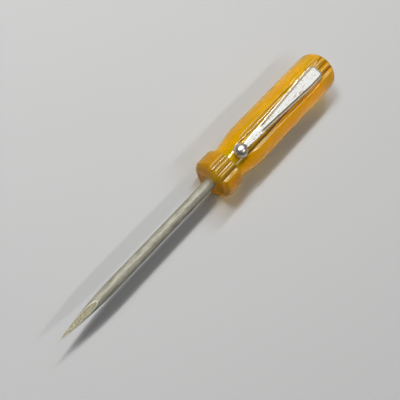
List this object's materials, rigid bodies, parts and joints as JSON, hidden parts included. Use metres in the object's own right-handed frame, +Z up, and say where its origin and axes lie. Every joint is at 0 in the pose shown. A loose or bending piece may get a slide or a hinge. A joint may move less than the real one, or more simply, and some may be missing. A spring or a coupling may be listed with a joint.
{
  "type": "pocket scratch awl",
  "caption": "Pocket scratch awl: fluted amber plastic handle, round tapered steel shank with a ground point, and a sprung pocket clip ending in a ball.",
  "frame": {"origin": "under the middle of the tool's bounding box, on the plane that the tool lies on", "axes": "+X along the tool to the point, +Z up on the side of the pocket clip, +Y across the tool"},
  "size_m": [0.108, 0.0126, 0.0156],
  "materials": {
    "amber_acetate": "polished translucent amber cellulose acetate",
    "tool_steel": "dull grey drawn tool steel with long scratches and light pitting",
    "clip_plating": "bright plated spring steel with small worn spots",
    "ball_plating": "bright plated steel ball, finely scratched"
  },
  "bodies": {
    "handle": {"handle": "amber_acetate", "awl_shank": "tool_steel", "clip_heel": "clip_plating"},
    "clip": {"clip_arm": "clip_plating", "clip_ball": "ball_plating"}
  },
  "joints": [
    {"name": "clip_flex", "type": "hinge", "parent": "handle", "child": "clip", "pos_m": [-0.03815, 0, 0.01275], "axis": [0, -1, 0], "range_deg": [0, 5], "stiffness_Nm_per_rad": 0.77, "springref_deg": -1.72}
  ]
}
